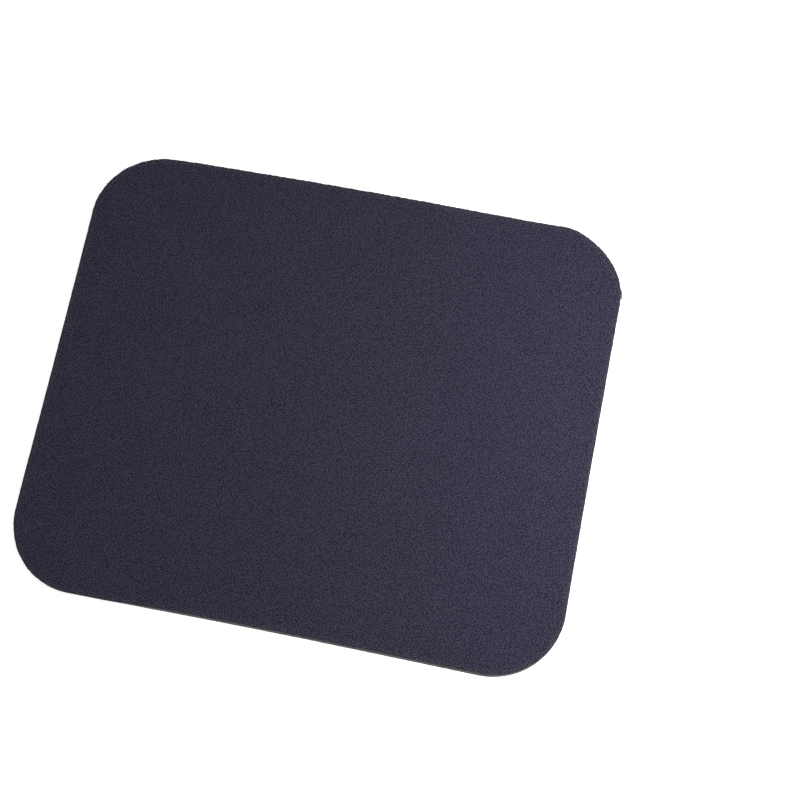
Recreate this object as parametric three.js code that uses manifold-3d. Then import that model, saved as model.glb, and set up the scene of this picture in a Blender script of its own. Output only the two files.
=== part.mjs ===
// Mouse pad: knitted cloth bonded by a hot-melt film to a foam-rubber sheet, with a zigzag
// non-slip tread underneath, die-cut from the cloth side to a rounded rectangle.
// Millimetres, +Z up. The origin is the middle of the underside, and +X runs along the long side.

import * as THREE from "three";
import { mergeVertices } from "three/addons/utils/BufferGeometryUtils.js";
import Module from "manifold-3d";

const wasm = await Module();
wasm.setup();

// Cut outline, at the foot of the foam
const padLength = 240;
const padWidth = 200;
const cornerRadius = 31;
const cornerSteps = 14;

// Layers, from the desk up
const foamThickness = 2.4;
const filmThickness = 0.1;
const clothThickness = 0.5;

// Cut edge: the layers bend down to the cut, and the hollow foam wall flares out to an upright foot
const rimWidth = 1.2;
const rimDrop = 0.25;
const rimSteps = 4;
const wallFlare = 0.5;
const wallSteps = 4;
const footAboveGroove = 0.1;

// Tread: zigzag grooves across the width, side by side along the length
const groovePitch = 5;
const grooveMouth = 1.8;
const grooveFloor = 1.2;
const grooveDepth = 0.4;
const zigzagLength = 30;
const zigzagSwing = 4;

// Finishes
const clothColour = 0x383846;
const filmColour = 0x47474c;
const foamColour = 0x3b3b3d;

// One ring of points on the cut outline, drawn in by the inset, anticlockwise seen from above
function outlineRing(inset, z) {
  const centreX = padLength / 2 - cornerRadius;
  const centreY = padWidth / 2 - cornerRadius;
  const radius = cornerRadius - inset;
  const ring = [];
  for (let corner = 0; corner < 4; corner += 1) {
    const sideX = corner === 0 || corner === 3 ? 1 : -1;
    const sideY = corner < 2 ? 1 : -1;
    for (let step = 0; step <= cornerSteps; step += 1) {
      const angle = (corner + step / cornerSteps) * Math.PI / 2;
      const x = sideX * centreX + radius * Math.cos(angle);
      const y = sideY * centreY + radius * Math.sin(angle);
      ring.push(new THREE.Vector3(x, y, z));
    }
  }
  return ring;
}

// A face between layers: flat in the middle and bent down at the rim, as rings from the middle out
function bentFace(z) {
  const rings = [];
  for (let step = 0; step <= rimSteps; step += 1) {
    const share = step / rimSteps;
    const inset = wallFlare + rimWidth * (1 - share);
    const drop = rimDrop * (1 - Math.cos(share * Math.PI / 2));
    rings.push(outlineRing(inset, z - drop));
  }
  return rings;
}

// The cut foam wall, as rings from its foot up to just below the rim. The foot is upright past the
// depth of the grooves, so that no groove near the edge cuts a strip of it loose.
function foamWall() {
  const footHeight = grooveDepth + footAboveGroove;
  const flareHeight = foamThickness - rimDrop - footHeight;
  const rings = [outlineRing(0, 0)];
  for (let step = 0; step < wallSteps; step += 1) {
    const share = step / wallSteps;
    const inset = wallFlare * Math.sin(share * Math.PI / 2);
    rings.push(outlineRing(inset, footHeight + flareHeight * share));
  }
  return rings;
}

// Closed solid through rings of points, from its underside out, up and back in, with flat ends
function loftRings(rings) {
  const count = rings[0].length;
  const lastRing = (rings.length - 1) * count;
  const indices = [];
  for (let start = 0; start < lastRing; start += count) {
    for (let point = 0; point < count; point += 1) {
      const here = start + point;
      const beside = start + (point + 1) % count;
      indices.push(here, beside, beside + count);
      indices.push(here, beside + count, here + count);
    }
  }
  const flatRing = rings[0].map((point) => new THREE.Vector2(point.x, point.y));
  for (const [a, b, c] of THREE.ShapeUtils.triangulateShape(flatRing, [])) {
    indices.push(a, c, b);
    indices.push(lastRing + a, lastRing + b, lastRing + c);
  }
  const geometry = new THREE.BufferGeometry().setFromPoints(rings.flat());
  geometry.setIndex(indices);
  geometry.computeVertexNormals();
  return geometry;
}

// A layer of even thickness that follows the bent face below it
function layerGeometry(bottomZ, thickness) {
  const underside = bentFace(bottomZ);
  const topside = bentFace(bottomZ + thickness).reverse();
  return loftRings([...underside, ...topside]);
}

// A zigzag band of one width that runs past both long edges, as a ring of points at one height
function zigzagRing(middleX, bandWidth, z) {
  const halfWave = zigzagLength / 2;
  const turns = Math.ceil(padWidth / 2 / halfWave) + 1;
  const leftSide = [];
  const rightSide = [];
  for (let turn = -turns; turn < turns; turn += 1) {
    const swing = turn % 2 === 0 ? zigzagSwing : -zigzagSwing;
    const y = (turn + 0.5) * halfWave;
    leftSide.push(new THREE.Vector3(middleX + swing - bandWidth / 2, y, z));
    rightSide.push(new THREE.Vector3(middleX + swing + bandWidth / 2, y, z));
  }
  return [...rightSide, ...leftSide.reverse()];
}

// One groove of the tread as a solid. Its sides lean from the mouth in to the floor, and they run on
// below the foot by as much as the groove is deep.
function grooveGeometry(middleX) {
  const widthBelow = 2 * grooveMouth - grooveFloor;
  const below = zigzagRing(middleX, widthBelow, -grooveDepth);
  const floor = zigzagRing(middleX, grooveFloor, grooveDepth);
  return loftRings([below, floor]);
}

function toSolid(geometry) {
  const bare = geometry.clone();
  bare.deleteAttribute("normal");
  bare.deleteAttribute("uv");
  const merged = mergeVertices(bare);
  const vertProperties = Float32Array.from(merged.attributes.position.array);
  const triVerts = Uint32Array.from(merged.index.array);
  return new wasm.Manifold(new wasm.Mesh({ numProp: 3, vertProperties, triVerts }));
}

function toGeometry(solid) {
  const mesh = solid.getMesh();
  const geometry = new THREE.BufferGeometry();
  geometry.setAttribute("position", new THREE.BufferAttribute(mesh.vertProperties, 3));
  geometry.setIndex(new THREE.BufferAttribute(mesh.triVerts, 1));
  geometry.computeVertexNormals();
  return geometry;
}

// Foam sheet with its tread. A land between two grooves runs through the middle of the underside.
function foamGeometry() {
  const topside = bentFace(foamThickness).reverse();
  let foam = toSolid(loftRings([...foamWall(), ...topside]));
  const groovesPerSide = Math.ceil((padLength / 2 + zigzagSwing) / groovePitch);
  for (let groove = -groovesPerSide; groove < groovesPerSide; groove += 1) {
    foam = foam.subtract(toSolid(grooveGeometry((groove + 0.5) * groovePitch)));
  }
  return toGeometry(foam);
}

function clothMaterial() {
  return new THREE.MeshStandardMaterial({ color: clothColour, roughness: 0.9, metalness: 0 });
}

function filmMaterial() {
  return new THREE.MeshStandardMaterial({ color: filmColour, roughness: 0.45, metalness: 0 });
}

function foamMaterial() {
  return new THREE.MeshStandardMaterial({ color: foamColour, roughness: 0.95, metalness: 0 });
}

function namedMesh(name, geometry, material) {
  const mesh = new THREE.Mesh(geometry, material);
  mesh.name = name;
  return mesh;
}

const filmBottom = foamThickness;
const clothBottom = filmBottom + filmThickness;

const mousePad = new THREE.Group();
mousePad.add(namedMesh("foam_base", foamGeometry(), foamMaterial()));
mousePad.add(namedMesh("bond_film", layerGeometry(filmBottom, filmThickness), filmMaterial()));
mousePad.add(namedMesh("cloth_top", layerGeometry(clothBottom, clothThickness), clothMaterial()));

export default mousePad;
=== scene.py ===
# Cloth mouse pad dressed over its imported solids: knitted top, bonding film and embossed foam base
import math
import random

import bmesh
import bpy
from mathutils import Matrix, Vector, geometry, noise


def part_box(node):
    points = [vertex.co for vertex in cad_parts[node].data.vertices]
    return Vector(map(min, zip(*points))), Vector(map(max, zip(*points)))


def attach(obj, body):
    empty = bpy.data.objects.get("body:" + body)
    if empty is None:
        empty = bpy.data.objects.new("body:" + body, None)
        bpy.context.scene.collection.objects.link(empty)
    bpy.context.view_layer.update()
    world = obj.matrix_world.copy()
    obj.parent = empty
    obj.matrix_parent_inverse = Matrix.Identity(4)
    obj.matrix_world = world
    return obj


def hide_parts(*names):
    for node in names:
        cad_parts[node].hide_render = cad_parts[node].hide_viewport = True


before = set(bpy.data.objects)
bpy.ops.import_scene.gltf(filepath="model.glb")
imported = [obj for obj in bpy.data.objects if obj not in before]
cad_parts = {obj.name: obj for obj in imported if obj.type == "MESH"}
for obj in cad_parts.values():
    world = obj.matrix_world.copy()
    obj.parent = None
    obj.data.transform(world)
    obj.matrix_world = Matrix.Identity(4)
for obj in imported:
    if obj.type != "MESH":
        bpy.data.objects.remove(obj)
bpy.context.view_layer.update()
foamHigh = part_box("foam_base")[1]
filmLow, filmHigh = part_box("bond_film")
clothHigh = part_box("cloth_top")[1]
millimetre = 0.001
print("frame loaded, pad of %.0f x %.0f mm" % (2 * foamHigh.x / millimetre, 2 * foamHigh.y / millimetre))

# The cut that all three layers share
die = {
    "cornerRadius": 0.031,
    "pointGap": 0.0004,  # along the cut
    "waver": 0.00006,  # the blade strays this far either way
    "waverLong": 0.011,
    "waverShort": 0.0025,
    "shortShare": 0.5,  # of the short waver beside the long one
    "backBow": 0.00074,  # the middle of the back edge is set back by this much
    "frontBow": 0.00063,  # and that of the front edge by this much
    "bowReach": 0.089,  # half the stretch that bows
    "bowFall": 1.5,  # how soon the bow dies away to its ends
    "waist": 0.0002,  # both short sides are hollow by this much
    # bends of the blade round the corners: turn in degrees, how far in, and how far they reach
    "bends": (
        (50, 0.0007, 0.018),
        (88, -0.0003, 0.016),
        (117, 0.00062, 0.029),
        (216, 0.00032, 0.034),
    ),
    "lean": Vector((0.0003, 0.0002)),  # the blade leans, so the cloth is off centre over the foot
    "uprightFrom": -0.045,  # the front wall goes from leaning to upright from here to the left
    "uprightBy": -0.075,
    "tagTurn": 9.4,  # degrees round the back right corner, where the ends of the blade meet
    "tagLength": 0.0036,
    "tagHeight": 0.00075,
    "tagEnds": 0.0003,
    "tagTorn": 0.0006,  # the cloth tears back this far there and leaves the foam bare
    "rimWidth": 0.0012,  # how far in the layers bend down
    "rimDrop": foamHigh.z - filmLow.z,
    "flare": foamHigh.x - clothHigh.x,  # the foam's foot stands out past the cloth
}


def plateau(distance, halfLength, ends):
    # one over the middle, easing to nothing over the soft ends
    t = min(max((halfLength - abs(distance)) / ends + 0.5, 0.0), 1.0)
    return t * t * (3.0 - 2.0 * t)


def dieLine():
    # points and outward directions along the die, anticlockwise from the right-hand side
    radius = die["cornerRadius"]
    centreX = foamHigh.x - radius
    centreY = foamHigh.y - radius
    arcSteps = round(radius * math.pi / 2 / die["pointGap"])
    line = []
    for corner in range(4):
        sideX = 1 if corner in (0, 3) else -1
        sideY = 1 if corner < 2 else -1
        centre = Vector((sideX * centreX, sideY * centreY))
        for step in range(arcSteps + 1):
            turn = (corner + step / arcSteps) * math.pi / 2
            out = Vector((math.cos(turn), math.sin(turn)))
            line.append((centre + out * radius, out))
        side = 2 * (centreX if corner % 2 == 0 else centreY)
        sideSteps = round(side / die["pointGap"])
        along = Vector((-out.y, out.x)) * side
        start = line[-1][0]
        for step in range(1, sideSteps):
            line.append((start + along * (step / sideSteps), out))
    return line


def cornerSpot(turn):
    # the point of the die at a turn in degrees, within one of its corners
    radius = die["cornerRadius"]
    out = Vector((math.cos(math.radians(turn)), math.sin(math.radians(turn))))
    centreX = math.copysign(foamHigh.x - radius, out.x)
    centreY = math.copysign(foamHigh.y - radius, out.y)
    return Vector((centreX, centreY)) + out * radius


def cutLine():
    # the cut as the worn blade leaves it
    tagMiddle = cornerSpot(die["tagTurn"])
    bends = [(cornerSpot(turn), depth, reach) for turn, depth, reach in die["bends"]]
    line = []
    for point, out in dieLine():
        spot = Vector((point.x, point.y, 0.0))
        shortWaver = die["shortShare"] * noise.noise(spot / die["waverShort"])
        waver = noise.noise(spot / die["waverLong"]) + shortWaver
        tag = plateau((point - tagMiddle).length, die["tagLength"] / 2, die["tagEnds"])
        along = min(abs(point.x) / die["bowReach"], 1.0)
        bow = die["backBow" if point.y > 0 else "frontBow"] * (1.0 - along * along) ** die["bowFall"]
        up = min(abs(point.y) / (foamHigh.y - die["cornerRadius"]), 1.0)
        waist = die["waist"] * (up * up - 0.5) * out.x ** 2  # half in at the middle, half out at the ends
        stray = die["waver"] * waver + die["tagHeight"] * tag + waist
        for middle, depth, reach in bends:
            away = min((point - middle).length / reach, 1.0)
            stray -= depth * (1.0 - away * away) ** 2
        upright = (point.x - die["uprightFrom"]) / (die["uprightBy"] - die["uprightFrom"])
        leaning = 1.0 - max(-out.y, 0.0) * min(max(upright, 0.0), 1.0)
        line.append((point + out * stray + Vector((0, bow)), out, tag, leaning))
    return line


cut = cutLine()


def cutRing(inset, height):
    # the cut drawn in, leaning with the blade up to the cloth
    rise = min(inset / die["flare"], 1.0)
    ring = []
    for point, out, tag, leaning in cut:
        drawnIn = inset - die["flare"] * rise * (1.0 - leaning) + die["tagTorn"] * rise * tag
        spot = point - out * drawnIn + die["lean"] * rise * leaning
        ring.append(Vector((spot.x, spot.y, height)))
    return ring


def bentFace(height, steps, extraInset=0.0):
    # rings of a face between layers, from the flat field out over the bent rim
    rings = []
    for step in range(steps + 1):
        share = step / steps
        inset = die["flare"] + extraInset + die["rimWidth"] * (1 - share)
        drop = die["rimDrop"] * (1 - math.cos(share * math.pi / 2))
        rings.append(cutRing(inset, height - drop))
    return rings


def loft(bm, rings):
    # walls through rings of points, each ring joined to the next
    loops = [[bm.verts.new(point) for point in ring] for ring in rings]
    for lower, upper in zip(loops, loops[1:]):
        for i in range(len(lower)):
            j = (i + 1) % len(lower)
            bm.faces.new((lower[i], lower[j], upper[j], upper[i]))
    return loops


def fieldPoints(gap):
    # an even grid of points that keeps clear of the bent rim
    radius = die["cornerRadius"]
    clear = die["flare"] + die["rimWidth"] + gap / 2
    rows = int(foamHigh.y / gap)
    columns = int(foamHigh.x / gap)
    points = []
    for row in range(-rows, rows + 1):
        for column in range(-columns, columns + 1):
            p = Vector((column * gap, row * gap))
            cornerX = max(abs(p.x) - foamHigh.x + radius, 0.0)
            cornerY = max(abs(p.y) - foamHigh.y + radius, 0.0)
            fromCorner = radius - math.hypot(cornerX, cornerY)
            if min(foamHigh.x - abs(p.x), foamHigh.y - abs(p.y), fromCorner) > clear:
                points.append(p)
    return points


def fillField(bm, loop, upward, gap=None, wave=0.0, waveSize=1.0):
    # fills a flat loop with triangles, round a grid of points if a gap is given
    border = [Vector((v.co.x, v.co.y)) for v in loop]
    count = len(border)
    inner = fieldPoints(gap) if gap else []
    edges = [(i, (i + 1) % count) for i in range(count)]
    keepInside = 1  # only triangles within the loop
    mergeWithin = 1e-7
    filled = geometry.delaunay_2d_cdt(border + inner, edges, [], keepInside, mergeWithin)
    spots, _, faces, origins, _, _ = filled
    height = loop[0].co.z
    verts = []
    for p, given in zip(spots, origins):
        onLoop = [i for i in given if i < count]
        rise = wave * noise.noise(Vector((p.x, p.y, 0.0)) / waveSize)
        verts.append(loop[onLoop[0]] if onLoop else bm.verts.new((p.x, p.y, height + rise)))
    for face in faces:
        corners = [verts[i] for i in face]
        bm.faces.new(corners if upward else corners[::-1])


def meshPiece(name, bm, material):
    mesh = bpy.data.meshes.new(name)
    bmesh.ops.recalc_face_normals(bm, faces=bm.faces)
    bm.to_mesh(mesh)
    bm.free()
    mesh.materials.append(material)
    piece = bpy.data.objects.new(name, mesh)
    bpy.context.scene.collection.objects.link(piece)
    return piece


def shade(piece, sharpAngle):
    # smooth all over but for edges that turn more than the angle
    piece.data.shade_smooth()
    piece.data.set_sharp_from_angle(angle=math.radians(sharpAngle))


# Layout of the maps for baked pictures, in shares of the picture
bakeMap = {
    "name": "OFBake",
    "gap": 0.01,
    "topFrom": 0.7,  # faces that look up more than this belong to the top
    "underFrom": -0.35,
}


def flatMap(piece, topShows):
    # the side that shows lies large, the edges as four strips above it and the hidden side small
    mesh = piece.data
    layer = mesh.uv_layers.new(name=bakeMap["name"])
    gap = bakeMap["gap"]
    middle = 0.5
    large = (1 - 2 * gap) / (2 * foamHigh.x)  # picture to a metre
    stripsFrom = 2 * gap + 2 * foamHigh.y * large
    stripStep = foamHigh.z * large + gap / 2
    smallFrom = stripsFrom + 4 * stripStep
    small = (1 - gap - smallFrom) / (2 * foamHigh.y)
    for face in mesh.polygons:
        way = face.normal
        sideways = abs(way.x) > abs(way.y)
        strip = 2 * sideways + (way.x + way.y > 0)
        for corner in face.loop_indices:
            p = mesh.vertices[mesh.loops[corner].vertex_index].co
            if bakeMap["underFrom"] < way.z < bakeMap["topFrom"]:
                along = p.y if sideways else p.x
                spot = (middle + along * large, stripsFrom + strip * stripStep + p.z * large)
            elif (way.z > 0) == topShows:
                spot = (middle + p.x * large, gap + (p.y + foamHigh.y) * large)
            else:
                spot = (middle + p.x * small, smallFrom + (p.y + foamHigh.y) * small)
            layer.data[corner].uv = spot


# Small helpers for the node trees
wholeRange = (0.0, 1.0)
cloudRange = (0.3, 0.7)  # nearly all values of a cloud lie between these


def emptyTree(owner):
    # the node tree of a material or a world, with nothing in it
    owner.use_nodes = True
    owner.node_tree.nodes.clear()
    return owner.node_tree


def newFinish(name):
    material = bpy.data.materials.new(name)
    tree = emptyTree(material)
    output = tree.nodes.new("ShaderNodeOutputMaterial")
    surface = tree.nodes.new("ShaderNodeBsdfPrincipled")
    tree.links.new(surface.outputs["BSDF"], output.inputs["Surface"])
    return material, tree, surface


def feed(tree, socket, value):
    if isinstance(value, bpy.types.NodeSocket):
        tree.links.new(value, socket)
    else:
        socket.default_value = value


def calc(tree, operation, *values, kind="ShaderNodeMath"):
    node = tree.nodes.new(kind)
    node.operation = operation
    for socket, value in zip(node.inputs, values):
        feed(tree, socket, value)
    return node.outputs[0]


def vectorCalc(tree, operation, *values):
    return calc(tree, operation, *values, kind="ShaderNodeVectorMath")


def scaled(tree, vector, amount):
    # a colour made lighter or darker, or a vector made longer or shorter, by a factor
    node = tree.nodes.new("ShaderNodeVectorMath")
    node.operation = "SCALE"
    feed(tree, node.inputs[0], vector)
    feed(tree, node.inputs["Scale"], amount)
    return node.outputs[0]


def spread(tree, value, fromRange, toRange):
    # a value taken from one range to another, and held within it
    node = tree.nodes.new("ShaderNodeMapRange")
    feed(tree, node.inputs["Value"], value)
    node.inputs["From Min"].default_value, node.inputs["From Max"].default_value = fromRange
    node.inputs["To Min"].default_value, node.inputs["To Max"].default_value = toRange
    return node.outputs["Result"]


def aboutOne(amount):
    return (1.0 - amount, 1.0 + amount)


def cloud(tree, place, size, detail=2.0):
    # soft noise with features of about this size in metres
    node = tree.nodes.new("ShaderNodeTexNoise")
    node.inputs["Scale"].default_value = 1.0 / size
    node.inputs["Detail"].default_value = detail
    tree.links.new(place, node.inputs["Vector"])
    return node


def mixColour(tree, share, first, second):
    node = tree.nodes.new("ShaderNodeMix")
    node.data_type = "RGBA"
    feed(tree, node.inputs[0], share)
    feed(tree, node.inputs[6], (*first, 1.0))  # the two colours, after those of the other kinds
    feed(tree, node.inputs[7], (*second, 1.0))
    return node.outputs[2]


def relief(tree, height, depth, strength):
    node = tree.nodes.new("ShaderNodeBump")
    node.inputs["Strength"].default_value = strength
    node.inputs["Distance"].default_value = depth
    tree.links.new(height, node.inputs["Height"])
    return node.outputs["Normal"]


def objectPlace(tree):
    return tree.nodes.new("ShaderNodeTexCoord").outputs["Object"]


# Foam base: an embossed sheet, cut out with the die
foam = {
    "wallRings": 9,
    "rimRings": 5,
    "footHeight": 0.0005,  # upright part of the wall
    "dentSize": 0.0009,  # hollows of opened cells in the cut wall
    "dentDepth": 0.00006,
    "steppedDents": 0.5,  # sharp-sided ones beside the soft ones
    "groovePitch": 0.005,
    "grooveMouth": 0.0018,
    "grooveFloor": 0.0012,
    "grooveDepth": 0.0004,
    "roundedSide": 0.8,  # width of a groove's side with its rounding, as a share of mouth less floor
    "sideSteps": (-0.6, -0.35, -0.1, 0.1, 0.35, 0.6),  # where that width gets points, from its middle
    "zigzagLength": 0.03,
    "zigzagSwing": 0.004,
    "turnRadius": 0.0007,  # rounding of the zigzag's turns
    "turnSteps": (-1.0, -0.5, 0.0, 0.5, 1.0),
    "sharpAngle": 50,
    "cellReach": 0.7,  # from the middle of a cell to its wall, in cells
    "grains": 3,  # across a cell
    "grain": 0.4,  # height of the grain beside that of the cells
    "heightRange": (0.0, 1.2),
    "patchRange": (0.38, 0.62),  # narrower than a cloud's, for clear patches
    "reliefDepth": 0.00012,
    "relief": 0.7,
    "roughness": (0.78, 0.95),
    "shine": 0.3,
    "cut": {  # the finish of the cut wall, with its cells open
        "colour": (0.125, 0.125, 0.128),
        "cell": 0.00024,
        "pit": 1.0,
        "contrast": 0.35,
        "patchSize": 0.0012,
        "patches": 0.22,
    },
    "skin": {  # the finish of the embossed underside
        "colour": (0.036, 0.036, 0.037),
        "cell": 0.0009,
        "pit": 0.25,
        "contrast": 0.35,
        "patchSize": 0.02,
        "patches": 0.07,
    },
}


def zigzag(y):
    # sideways swing of the grooves, with its turns rounded
    half = foam["zigzagLength"] / 2
    t = (y / half + 0.5) % 2.0
    toTurn = (abs(t - 1.0) - 0.5) * 2.0  # runs evenly from one at a turn to minus one at the next
    soft = foam["turnRadius"] / half * 2
    rounded = toTurn
    for edge in (1.0, -1.0):
        gap = abs(edge - toTurn)
        if gap < soft:
            rounded = edge - math.copysign((gap * gap / soft + soft) / 2, edge)
    return rounded * foam["zigzagSwing"]


def embossedSheet():
    # oversize sheet with the tread underneath, its columns following the zigzag
    pitch = foam["groovePitch"]
    halfGroove = (foam["grooveMouth"] + foam["grooveFloor"]) / 4
    shoulder = (foam["grooveMouth"] - foam["grooveFloor"]) * foam["roundedSide"]
    steps = [halfGroove + shoulder * share for share in foam["sideSteps"]]
    across = sorted(steps + [-s for s in steps] + [0.0, pitch / 2])
    grooves = math.ceil((foamHigh.x + foam["zigzagSwing"]) / pitch) + 1
    columns = [((g + 0.5) * pitch + a, a) for g in range(-grooves, grooves) for a in across]
    half = foam["zigzagLength"] / 2
    turns = math.ceil(foamHigh.y / half) + 1
    nearTurn = [s * foam["turnRadius"] for s in foam["turnSteps"]]
    rows = sorted((turn + 0.5) * half + near for turn in range(-turns, turns) for near in nearTurn)
    heights = [foam["grooveDepth"] * plateau(a, halfGroove, shoulder) for _, a in columns]
    bm = bmesh.new()
    grid = []
    for y in rows:
        swing = zigzag(y)
        grid.append([bm.verts.new((x + swing, y, z)) for (x, _), z in zip(columns, heights)])
    for lower, upper in zip(grid, grid[1:]):
        for i in range(len(columns) - 1):
            bm.faces.new((lower[i], upper[i], upper[i + 1], lower[i + 1]))
    border = [e for e in bm.edges if e.is_boundary]
    raised = bmesh.ops.extrude_edge_only(bm, edges=border)["geom"]
    for vert in [g for g in raised if isinstance(g, bmesh.types.BMVert)]:
        vert.co.z = 2 * clothHigh.z  # clear of the die's top
    top = [g for g in raised if isinstance(g, bmesh.types.BMEdge) and g.is_boundary]
    bmesh.ops.contextual_create(bm, geom=top)
    return bm


def foamDie():
    # the cut shape, run on below the underside
    wallTop = foamHigh.z - die["rimDrop"]
    levels = [-foam["footHeight"], 0.0, foam["footHeight"] / 2]
    flares = [0.0, 0.0, 0.0]
    for step in range(foam["wallRings"]):
        share = step / foam["wallRings"]
        levels.append(foam["footHeight"] + (wallTop - foam["footHeight"]) * share)
        flares.append(die["flare"] * math.sin(share * math.pi / 2))
    rings = []
    for level, flare in zip(levels, flares):
        ring = cutRing(flare, level)
        for point, (_, out, *_) in zip(ring, cut):
            spot = point / foam["dentSize"]
            dent = foam["dentDepth"] * (noise.cell(spot) * foam["steppedDents"] + noise.noise(spot))
            point.x -= out.x * dent
            point.y -= out.y * dent
        rings.append(ring)
    rings += bentFace(foamHigh.z, foam["rimRings"])[::-1]
    bm = bmesh.new()
    loops = loft(bm, rings)
    fillField(bm, loops[0], False)
    fillField(bm, loops[-1], True)
    return bm


def foamFinish(name, look):
    material, tree, surface = newFinish(name)
    place = objectPlace(tree)
    cell = tree.nodes.new("ShaderNodeTexVoronoi")
    cell.inputs["Scale"].default_value = 1.0 / look["cell"]
    tree.links.new(place, cell.inputs["Vector"])
    towardsWall = spread(tree, cell.outputs["Distance"], (0.0, foam["cellReach"]), wholeRange)
    pits = calc(tree, "MULTIPLY", towardsWall, look["pit"])
    grain = cloud(tree, place, look["cell"] / foam["grains"], detail=3.0).outputs["Fac"]
    height = calc(tree, "MULTIPLY_ADD", grain, foam["grain"], pits)
    patch = cloud(tree, place, look["patchSize"]).outputs["Fac"]
    patches = spread(tree, patch, foam["patchRange"], aboutOne(look["patches"]))
    # painted shade: lighter on the cell walls and the grain, darker down in the pits
    pitShadeAndGrainTone = spread(tree, height, foam["heightRange"], aboutOne(look["contrast"]))
    lightness = calc(tree, "MULTIPLY", pitShadeAndGrainTone, patches)
    tree.links.new(scaled(tree, look["colour"], lightness), surface.inputs["Base Color"])
    tree.links.new(spread(tree, grain, cloudRange, foam["roughness"]), surface.inputs["Roughness"])
    tree.links.new(relief(tree, height, foam["reliefDepth"], foam["relief"]), surface.inputs["Normal"])
    surface.inputs["Specular IOR Level"].default_value = foam["shine"]
    return material


def makeFoam():
    cutFinish = foamFinish("foamCut", foam["cut"])
    skinFinish = foamFinish("foamSkin", foam["skin"])
    base = meshPiece("foamBase", foamDie(), cutFinish)
    sheet = meshPiece("foamSheet", embossedSheet(), skinFinish)
    base.data.materials.append(skinFinish)
    trim = base.modifiers.new("dieCut", "BOOLEAN")
    trim.operation = "INTERSECT"
    trim.solver = "MANIFOLD"
    trim.object = sheet
    trim.material_mode = "TRANSFER"
    bpy.context.view_layer.update()
    cutOut = base.evaluated_get(bpy.context.evaluated_depsgraph_get())
    base.data = bpy.data.meshes.new_from_object(cutOut)
    base.modifiers.clear()
    bpy.data.objects.remove(sheet)
    shade(base, foam["sharpAngle"])
    flatMap(base, False)
    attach(base, "root")
    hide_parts("foam_base")
    return base


foamBase = makeFoam()
print("foam base cut,", len(foamBase.data.polygons), "faces")

# Bonding film: a hairline of glue between cloth and foam
film = {
    "clearance": 0.000005,
    "setBack": 0.00004,  # the glue stops just short of the cut
    "rings": 5,
    "sharpAngle": 40,
    "colour": (0.07, 0.07, 0.078),
    "smearSize": 0.0012,
    "smearDepth": 0.00005,
    "relief": 0.5,
    "lightness": (0.8, 1.2),
    "roughness": (0.3, 0.55),
}


def filmFinish():
    material, tree, surface = newFinish("meltedGlue")
    smears = cloud(tree, objectPlace(tree), film["smearSize"], detail=3.0).outputs["Fac"]
    lightness = spread(tree, smears, cloudRange, film["lightness"])
    tree.links.new(scaled(tree, film["colour"], lightness), surface.inputs["Base Color"])
    tree.links.new(spread(tree, smears, cloudRange, film["roughness"]), surface.inputs["Roughness"])
    tree.links.new(relief(tree, smears, film["smearDepth"], film["relief"]), surface.inputs["Normal"])
    return material


def makeFilm():
    bm = bmesh.new()
    under = bentFace(foamHigh.z + film["clearance"], film["rings"], film["setBack"])
    over = bentFace(filmHigh.z - film["clearance"], film["rings"], film["setBack"])
    loops = loft(bm, under + over[::-1])
    fillField(bm, loops[0], False)
    fillField(bm, loops[-1], True)
    piece = meshPiece("bondFilm", bm, filmFinish())
    shade(piece, film["sharpAngle"])
    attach(piece, "root")
    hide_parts("bond_film")
    return piece


bondFilm = makeFilm()
print("bonding film laid")

# Knitted cloth: its stitches are far finer than the mesh, so they are in the finish
cloth = {
    "clearance": 0.000005,
    "fieldGap": 0.006,
    "wave": 0.00006,  # it lies a little uneven
    "waveSize": 0.055,
    "underRings": 4,
    "rimRings": 10,
    "sharpAngle": 50,
    "fray": 0.0002,  # uneven yarn ends along the cut
    "fraySize": 0.0011,
    "frayLift": 0.5,  # how far they stand up beside how far they stand out
    "fibres": 1500,  # loose ends that stand out of the cut
    "fibreSeed": 7,
    "fibreLength": (0.0001, 0.00045),
    "fibreRadius": 0.00001,
    "fibreTaper": ((0.0, 1.0), (0.6, 0.8)),  # how thick it is so far along
    "fibreRoots": (0.25, 0.95),  # where they start, up the cut
    "fibreSunk": 0.00002,
    "fibreSplay": 0.8,  # how far they lean along the cut
    "fibreRise": (-0.3, 0.4),
    "fibreDroop": 0.25,
    "wale": 0.00046,  # width of a column of stitches
    "course": 0.00042,  # height of a row of stitches
    "slant": 0.6,  # how far the legs of a stitch climb, in rows
    "legEnds": 0.4,  # height of a leg at its ends beside its middle
    "strands": 3,  # in each leg of a stitch
    "sway": 0.0004,  # how far the columns and rows wander
    "swaySize": 0.007,
    # dark and light stitches: random yarn tone that also stands in for painted highlights and shade on
    # the raised stitches
    "darkYarnAndShade": (0.017, 0.0162, 0.0333),
    "lightYarnAndHighlight": (0.0869, 0.0847, 0.1276),
    "neighbourShade": 0.7,  # painted shade: how far a light, raised stitch dims the four round it
    "contrast": 1.17,  # how far stitches part into dark and light
    "fewLight": 2.0,  # above one, light stitches are fewer
    "valleyShadeAndCrownLight": (0.65, 1.25),  # painted shade between the stitches and painted light on them
    "strandShade": 0.07,
    "patchSize": 0.03,
    "patches": 0.03,
    "roughness": (0.78, 0.95),
    "shine": 0.03,
    "sheen": 0.015,
    "sheenRoughness": 0.45,
    "sheenTint": (0.6, 0.6, 0.85, 1.0),
    "stitchDepth": 0.00014,
    "relief": 0.6,
    "standing": (0.6, 1.4),  # stitches stand at heights of their own
    "tilt": 4.0,  # and at angles of their own, as a share of their depth
    "rubAndSheenWidth": 0.0016,  # the yarn is rubbed paler, with painted sheen, over the bent rim and this far in
    "rubbedBy": 0.7,  # share of the way to the cut at which it is palest
    "plainTint": (1.0, 1.0, 1.0),
    # lighter and less blue at the rim: painted sheen on the bent fibres, and wear
    "rubAndSheenTint": (1.22, 1.23, 1.07),
}


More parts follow.
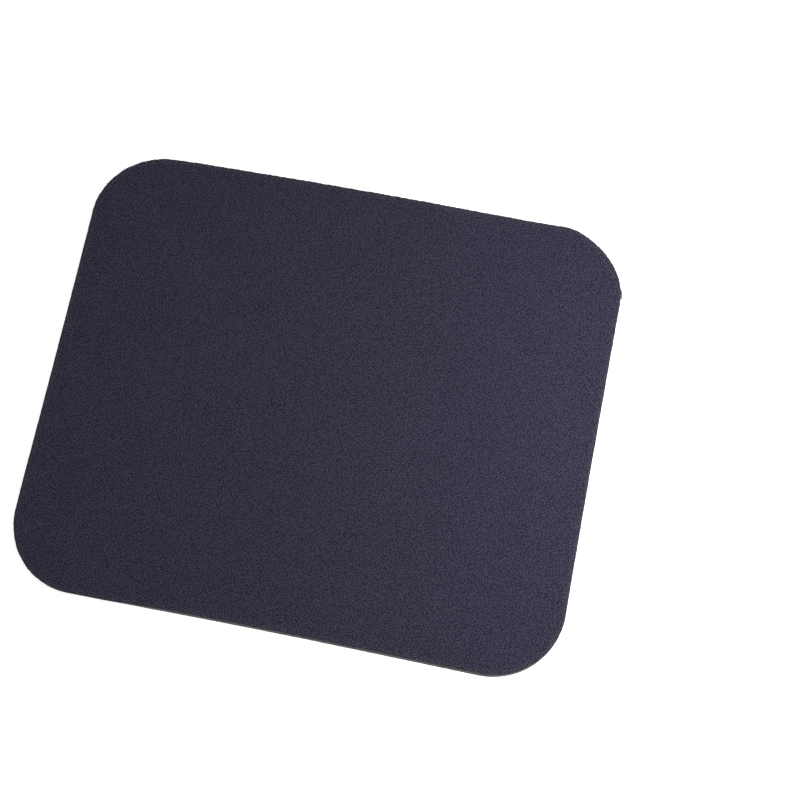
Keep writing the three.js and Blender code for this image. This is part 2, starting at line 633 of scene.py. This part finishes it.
def clothFinish():
    material, tree, surface = newFinish("fineKnit")
    place = objectPlace(tree)
    # columns and rows of stitches, which wander a little
    halfWay = (0.5, 0.5, 0.5)
    sway = cloud(tree, place, cloth["swaySize"], detail=1.0).outputs["Color"]
    stray = scaled(tree, vectorCalc(tree, "SUBTRACT", sway, halfWay), cloth["sway"])
    split = tree.nodes.new("ShaderNodeSeparateXYZ")
    tree.links.new(vectorCalc(tree, "ADD", place, stray), split.inputs[0])
    column = calc(tree, "DIVIDE", split.outputs["X"], cloth["wale"])
    acrossWale = calc(tree, "SUBTRACT", calc(tree, "FRACT", column), 0.5)
    toSide = calc(tree, "MULTIPLY", calc(tree, "ABSOLUTE", acrossWale), 2.0)
    level = calc(tree, "DIVIDE", split.outputs["Y"], cloth["course"])
    row = calc(tree, "MULTIPLY_ADD", toSide, cloth["slant"], level)
    acrossYarn = calc(tree, "SUBTRACT", calc(tree, "FRACT", row), 0.5)
    columnNumber = calc(tree, "FLOOR", column)
    rowNumber = calc(tree, "FLOOR", row)

    def stitchChance(aside, above):
        # random numbers of the stitch that lies so many aside and above
        spot = tree.nodes.new("ShaderNodeCombineXYZ")
        tree.links.new(calc(tree, "ADD", columnNumber, aside), spot.inputs["X"])
        tree.links.new(calc(tree, "ADD", rowNumber, above), spot.inputs["Y"])
        node = tree.nodes.new("ShaderNodeTexWhiteNoise")
        node.noise_dimensions = "2D"
        tree.links.new(spot.outputs[0], node.inputs["Vector"])
        return node

    # dark and light yarn, which also stands in for painted highlights and shade on the stitches, with
    # light stitches standing out from those round them
    own = stitchChance(0, 0)
    beside = [stitchChance(1, 0), stitchChance(-1, 0), stitchChance(0, 1), stitchChance(0, -1)]
    around = beside[0].outputs["Value"]
    for stitchBeside in beside[1:]:
        around = calc(tree, "ADD", around, stitchBeside.outputs["Value"])
    standOut = calc(tree, "MULTIPLY_ADD", around, -cloth["neighbourShade"] / 4, own.outputs["Value"])
    middle = 0.5 - cloth["neighbourShade"] / 2
    reach = 0.5 / cloth["contrast"]
    share = spread(tree, standOut, (middle - reach, middle + reach), wholeRange)
    lightShare = calc(tree, "POWER", share, cloth["fewLight"])
    yarnToneAndLight = mixColour(tree, lightShare, cloth["darkYarnAndShade"], cloth["lightYarnAndHighlight"])
    # the round of the yarn in each leg of a stitch, and its strands
    yarnRound = calc(tree, "COSINE", calc(tree, "MULTIPLY", acrossYarn, math.pi))
    legRound = calc(tree, "SINE", calc(tree, "MULTIPLY", toSide, math.pi))
    legHeight = spread(tree, legRound, wholeRange, (cloth["legEnds"], 1.0))
    stitch = calc(tree, "MULTIPLY", yarnRound, legHeight)
    twist = calc(tree, "SINE", calc(tree, "MULTIPLY", acrossYarn, 2.0 * math.pi * cloth["strands"]))
    # painted shade in the valleys between the stitches and across the strands, painted light on the
    # crowns
    valleyShadeAndCrownLight = spread(tree, stitch, wholeRange, cloth["valleyShadeAndCrownLight"])
    strands = spread(tree, twist, (-1.0, 1.0), aboutOne(cloth["strandShade"]))
    patch = cloud(tree, place, cloth["patchSize"]).outputs["Fac"]
    patches = spread(tree, patch, cloudRange, aboutOne(cloth["patches"]))
    lightness = calc(tree, "MULTIPLY", calc(tree, "MULTIPLY", valleyShadeAndCrownLight, strands), patches)
    # rubbed paler towards the cut, with painted sheen over the bent rim
    rim = tree.nodes.new("ShaderNodeAttribute")
    rim.attribute_name = "rim"
    rubbed = spread(tree, rim.outputs["Fac"], (0.0, cloth["rubbedBy"]), wholeRange)
    # painted sheen and wear: the bent rim, the cut and the loose ends are tinted lighter and less blue
    rubAndSheenTinting = mixColour(tree, rubbed, cloth["plainTint"], cloth["rubAndSheenTint"])
    yarnWithPaintedLight = vectorCalc(tree, "MULTIPLY", scaled(tree, yarnToneAndLight, lightness), rubAndSheenTinting)
    tree.links.new(yarnWithPaintedLight, surface.inputs["Base Color"])
    roughness = spread(tree, own.outputs["Value"], wholeRange, cloth["roughness"])
    tree.links.new(roughness, surface.inputs["Roughness"])
    # relief of the stitches
    lie = tree.nodes.new("ShaderNodeSeparateXYZ")
    ownLie = vectorCalc(tree, "SUBTRACT", own.outputs["Color"], halfWay)
    tree.links.new(scaled(tree, ownLie, cloth["tilt"]), lie.inputs[0])
    standing = spread(tree, own.outputs["Value"], wholeRange, cloth["standing"])
    height = calc(tree, "MULTIPLY", stitch, standing)
    height = calc(tree, "MULTIPLY_ADD", acrossWale, lie.outputs["X"], height)
    height = calc(tree, "MULTIPLY_ADD", acrossYarn, lie.outputs["Y"], height)
    tree.links.new(relief(tree, height, cloth["stitchDepth"], cloth["relief"]), surface.inputs["Normal"])
    surface.inputs["Specular IOR Level"].default_value = cloth["shine"]
    surface.inputs["Sheen Weight"].default_value = cloth["sheen"]
    surface.inputs["Sheen Roughness"].default_value = cloth["sheenRoughness"]
    surface.inputs["Sheen Tint"].default_value = cloth["sheenTint"]
    return material


def addFibre(bm, rimLayer, root, way, length):
    # one loose end: a thin three-sided spike that droops a little
    side = way.cross(Vector((0, 0, 1))).normalized()
    over = side.cross(way)
    droop = Vector((0, 0, -length * cloth["fibreDroop"]))
    rings = []
    for along, slim in cloth["fibreTaper"]:
        middle = root + way * (length * along) + droop * (along * along)
        thick = cloth["fibreRadius"] * slim
        ring = []
        for third in range(3):
            turn = third * math.tau / 3
            ring.append(bm.verts.new(middle + (side * math.cos(turn) + over * math.sin(turn)) * thick))
        rings.append(ring)
    tip = bm.verts.new(root + way * length + droop)
    for vert in rings[0] + rings[1] + [tip]:
        vert[rimLayer] = 1.0
    bm.faces.new(rings[0])
    for i in range(3):
        j = (i + 1) % 3
        bm.faces.new((rings[0][i], rings[0][j], rings[1][j], rings[1][i]))
        bm.faces.new((rings[1][i], rings[1][j], tip))


def makeCloth():
    bm = bmesh.new()
    rimLayer = bm.verts.layers.float.new("rim")
    under = bentFace(filmHigh.z + cloth["clearance"], cloth["underRings"])
    rubAndSheenReach = cutRing(die["flare"] + die["rimWidth"] + cloth["rubAndSheenWidth"], clothHigh.z)
    over = [rubAndSheenReach] + bentFace(clothHigh.z, cloth["rimRings"])
    loops = loft(bm, under + over[::-1])
    lowEdge, highEdge = loops[len(under) - 1:len(under) + 1]  # the two rings of the cut edge
    flatShare = cloth["rubAndSheenWidth"] / (cloth["rubAndSheenWidth"] + die["rimWidth"])
    for step, loop in enumerate(loops[-2:len(under) - 1:-1]):
        for vert in loop:
            vert[rimLayer] = flatShare + (1.0 - flatShare) * step / cloth["rimRings"]
    for loop in loops[:len(under)]:
        for vert in loop:
            vert[rimLayer] = 1.0
    for loop in (lowEdge, highEdge):
        for vert, (_, out, *_) in zip(loop, cut):
            stray = cloth["fray"] * noise.noise(vert.co / cloth["fraySize"])
            vert.co += Vector((out.x, out.y, cloth["frayLift"])) * stray
    draw = random.Random(cloth["fibreSeed"])
    for _ in range(cloth["fibres"]):
        i = draw.randrange(len(cut))
        out = cut[i][1]
        root = lowEdge[i].co.lerp(highEdge[i].co, draw.uniform(*cloth["fibreRoots"]))
        along = Vector((-out.y, out.x)) * draw.uniform(-cloth["fibreSplay"], cloth["fibreSplay"])
        way = Vector((*(out + along), draw.uniform(*cloth["fibreRise"]))).normalized()
        length = draw.triangular(*cloth["fibreLength"], cloth["fibreLength"][0])
        addFibre(bm, rimLayer, root - way * cloth["fibreSunk"], way, length)
    fillField(bm, loops[0], False)
    fillField(bm, loops[-1], True, cloth["fieldGap"], cloth["wave"], cloth["waveSize"])
    piece = meshPiece("clothTop", bm, clothFinish())
    shade(piece, cloth["sharpAngle"])
    flatMap(piece, True)
    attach(piece, "root")
    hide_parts("cloth_top")
    return piece


clothTop = makeCloth()
print("cloth laid,", len(clothTop.data.polygons), "faces")

# Floor, light and camera
studio = {
    "floorSize": 6.0,
    "floorColour": (0.86, 0.86, 0.86, 1.0),
    "floorGlow": 0.68,  # white for the camera, with room for the shadow
    "white": (1.0, 1.0, 1.0, 1.0),
    "skyLevel": 0.447,
    "keyPlace": Vector((0.3, 0.03, 0.22)),
    "keySize": (0.3, 0.2),
    "keyPower": 1.4,
}
camera = {
    "place": (0.08659, -0.13729, 0.64089),
    "turn": (13.527, 2.071, 11.328),  # degrees
    "lens": 68.23,
    "sensor": 36.0,
    "clipStart": 0.01,
}


def seenDirectly(tree):
    # one for rays that show a surface as it is: camera, mirror and glass rays
    path = tree.nodes.new("ShaderNodeLightPath")
    shown = calc(tree, "MAXIMUM", path.outputs["Is Glossy Ray"], path.outputs["Is Transmission Ray"])
    return calc(tree, "MAXIMUM", path.outputs["Is Camera Ray"], shown)


def floorFinish():
    material = bpy.data.materials.new("paleFloor")
    tree = emptyTree(material)
    output = tree.nodes.new("ShaderNodeOutputMaterial")
    matt = tree.nodes.new("ShaderNodeBsdfDiffuse")
    matt.inputs["Color"].default_value = studio["floorColour"]
    glow = tree.nodes.new("ShaderNodeEmission")
    both = tree.nodes.new("ShaderNodeAddShader")
    strength = calc(tree, "MULTIPLY", seenDirectly(tree), studio["floorGlow"])
    tree.links.new(strength, glow.inputs["Strength"])
    tree.links.new(matt.outputs[0], both.inputs[0])
    tree.links.new(glow.outputs[0], both.inputs[1])
    tree.links.new(both.outputs[0], output.inputs["Surface"])
    return material


def makeFloor():
    bm = bmesh.new()
    bmesh.ops.create_grid(bm, x_segments=1, y_segments=1, size=studio["floorSize"] / 2)
    meshPiece("floor", bm, floorFinish())


def makeSky():
    world = bpy.data.worlds.new("studioSky")
    tree = emptyTree(world)
    output = tree.nodes.new("ShaderNodeOutputWorld")
    sky = tree.nodes.new("ShaderNodeBackground")
    white = tree.nodes.new("ShaderNodeBackground")
    choose = tree.nodes.new("ShaderNodeMixShader")
    sky.inputs["Color"].default_value = studio["white"]
    sky.inputs["Strength"].default_value = studio["skyLevel"]
    white.inputs["Color"].default_value = studio["white"]
    tree.links.new(seenDirectly(tree), choose.inputs["Fac"])
    tree.links.new(sky.outputs[0], choose.inputs[1])
    tree.links.new(white.outputs[0], choose.inputs[2])
    tree.links.new(choose.outputs[0], output.inputs["Surface"])
    bpy.context.scene.world = world


def makeKey():
    lamp = bpy.data.lights.new("softKey", "AREA")
    lamp.shape = "RECTANGLE"
    lamp.size, lamp.size_y = studio["keySize"]
    lamp.energy = studio["keyPower"]
    key = bpy.data.objects.new("softKey", lamp)
    key.location = studio["keyPlace"]
    key.rotation_euler = (-studio["keyPlace"]).to_track_quat("-Z", "Y").to_euler()
    bpy.context.scene.collection.objects.link(key)


def makeCamera():
    data = bpy.data.cameras.new("photoCamera")
    data.sensor_width = camera["sensor"]
    data.lens = camera["lens"]
    data.clip_start = camera["clipStart"]
    eye = bpy.data.objects.new("photoCamera", data)
    eye.location = camera["place"]
    eye.rotation_euler = [math.radians(a) for a in camera["turn"]]
    bpy.context.scene.collection.objects.link(eye)
    bpy.context.scene.camera = eye


makeFloor()
makeSky()
makeKey()
makeCamera()
bpy.context.scene.view_settings.view_transform = "Standard"
print("studio set up")
